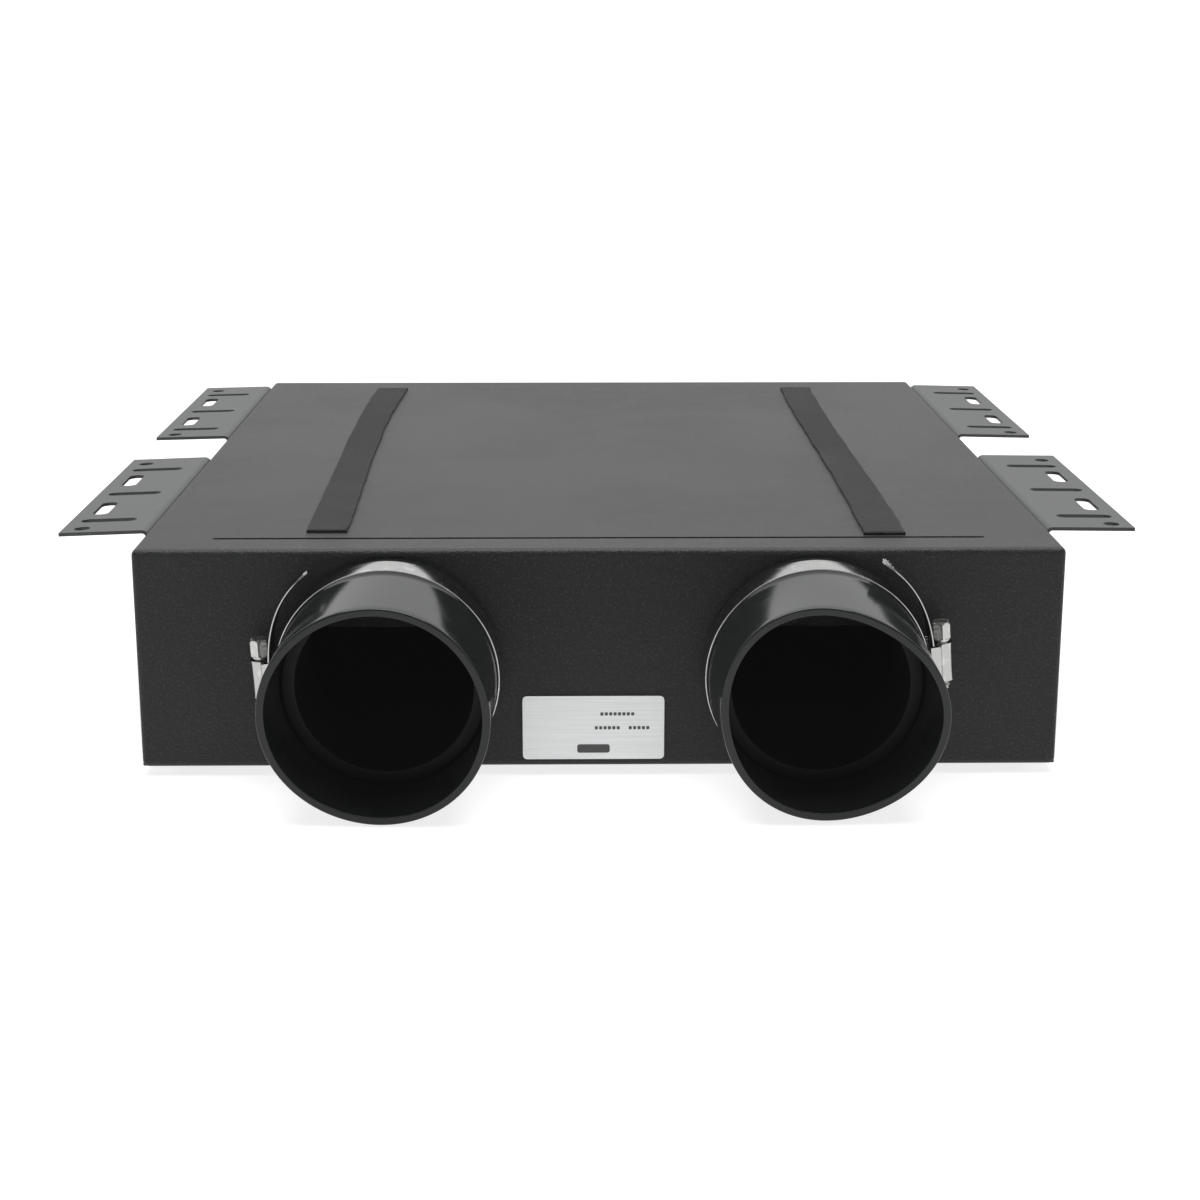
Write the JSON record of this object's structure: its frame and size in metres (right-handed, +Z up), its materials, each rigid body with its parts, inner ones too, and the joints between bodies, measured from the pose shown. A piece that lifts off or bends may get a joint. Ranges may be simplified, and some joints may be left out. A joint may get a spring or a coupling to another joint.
{
  "type": "ducted in-joist bass speaker box",
  "caption": "Flat black joist-bay box with slotted side flanges, felt strips on top and two clamped rubber duct sleeves at the front; bass drivers inside feed the ducts.",
  "frame": {"origin": "centre of the flat underside of the casing", "axes": "+Z up through the box, +Y from the duct sleeves towards the back, +X to the right seen from the duct side"},
  "size_m": [0.4362, 0.4775, 0.0932],
  "materials": {
    "black_texture_coat": "fine-textured black powder coat",
    "bracket_satin_coat": "satin dark grey coat",
    "black_felt": "matt black felt",
    "black_rubber": "smooth semi-gloss black rubber",
    "black_plastic": "matt",
    "red_plastic": "gloss",
    "stainless_band": "bright rolled stainless",
    "zinc_steel": "zinc plated",
    "brass_stud": "bright",
    "silver_label": "satin silver foil",
    "fibreboard": "raw medium-density board",
    "ferrite": "sintered",
    "paper_cone": "pressed fibre",
    "copper_coil": "enamelled winding",
    "spider_cloth": "resin-dipped cloth",
    "grey_wadding": "felted wadding"
  },
  "bodies": {
    "casing": {"front_panel": "black_texture_coat", "back_panel": "black_texture_coat", "top_panel": "black_texture_coat", "side_panel_left": "black_texture_coat", "side_panel_right": "black_texture_coat", "base_panel": "black_texture_coat", "corner_block_left_front": "fibreboard", "corner_block_right_front": "fibreboard", "corner_block_left_rear": "fibreboard", "corner_block_right_rear": "fibreboard", "base_screw_left_front": "zinc_steel", "base_screw_right_front": "zinc_steel", "base_screw_left_rear": "zinc_steel", "base_screw_right_rear": "zinc_steel", "bracket_left_front": "bracket_satin_coat", "bracket_right_front": "bracket_satin_coat", "bracket_left_rear": "bracket_satin_coat", "bracket_right_rear": "bracket_satin_coat", "felt_strip_left": "black_felt", "felt_strip_right": "black_felt", "rating_plate": "silver_label", "port_stub_left": "black_plastic", "port_stub_right": "black_plastic", "rubber_sleeve_left": "black_rubber", "rubber_sleeve_right": "black_rubber", "clamp_band_left": "stainless_band", "clamp_band_right": "stainless_band", "clamp_housing_left": "stainless_band", "clamp_housing_right": "stainless_band", "driver_baffle": "fibreboard", "plenum_wall": "fibreboard", "acoustic_lining": "grey_wadding", "woofer_frame_left": "zinc_steel", "woofer_frame_right": "zinc_steel", "top_plate_left": "zinc_steel", "top_plate_right": "zinc_steel", "magnet_left": "ferrite", "magnet_right": "ferrite", "yoke_left": "zinc_steel", "yoke_right": "zinc_steel", "surround_left": "black_rubber", "surround_right": "black_rubber", "spider_left": "spider_cloth", "spider_right": "spider_cloth", "hookup_wire_left": "black_plastic", "hookup_wire_right": "black_plastic", "terminal_cup": "black_plastic", "terminal_post_negative": "brass_stud", "terminal_post_positive": "brass_stud"},
    "worm_left": {"clamp_screw_left": "zinc_steel"},
    "worm_right": {"clamp_screw_right": "zinc_steel"},
    "nut_negative": {"terminal_nut_negative": "black_plastic"},
    "nut_positive": {"terminal_nut_positive": "red_plastic"},
    "cone_assembly_left": {"cone_left": "paper_cone", "dust_cap_left": "paper_cone", "voice_coil_left": "copper_coil"},
    "cone_assembly_right": {"cone_right": "paper_cone", "dust_cap_right": "paper_cone", "voice_coil_right": "copper_coil"}
  },
  "joints": [
    {"name": "clamp_screw_turn_left", "type": "hinge", "parent": "casing", "child": "worm_left", "pos_m": [-0.13074, -0.21486, 0.03969], "axis": [-0.0471, -0.0561, 0.9973], "continuous": true},
    {"name": "clamp_screw_turn_right", "type": "hinge", "parent": "casing", "child": "worm_right", "pos_m": [0.13254, -0.2161, 0.04629], "axis": [-0.0881, -0.0586, 0.9944], "continuous": true},
    {"name": "terminal_nut_turn_negative", "type": "hinge", "parent": "casing", "child": "nut_negative", "pos_m": [-0.0095, 0.1935, 0.058], "axis": [0, 1, 0], "continuous": true},
    {"name": "terminal_nut_turn_positive", "type": "hinge", "parent": "casing", "child": "nut_positive", "pos_m": [0.0095, 0.1935, 0.058], "axis": [0, 1, 0], "continuous": true},
    {"name": "cone_travel_left", "type": "slide", "parent": "casing", "child": "cone_assembly_left", "axis": [0, 0, 1], "range_m": [-0.004, 0.004], "stiffness_N_per_m": 1800, "deforming": ["surround_left", "spider_left"]},
    {"name": "cone_travel_right", "type": "slide", "parent": "casing", "child": "cone_assembly_right", "axis": [0, 0, 1], "range_m": [-0.004, 0.004], "stiffness_N_per_m": 1800, "deforming": ["surround_right", "spider_right"]}
  ]
}
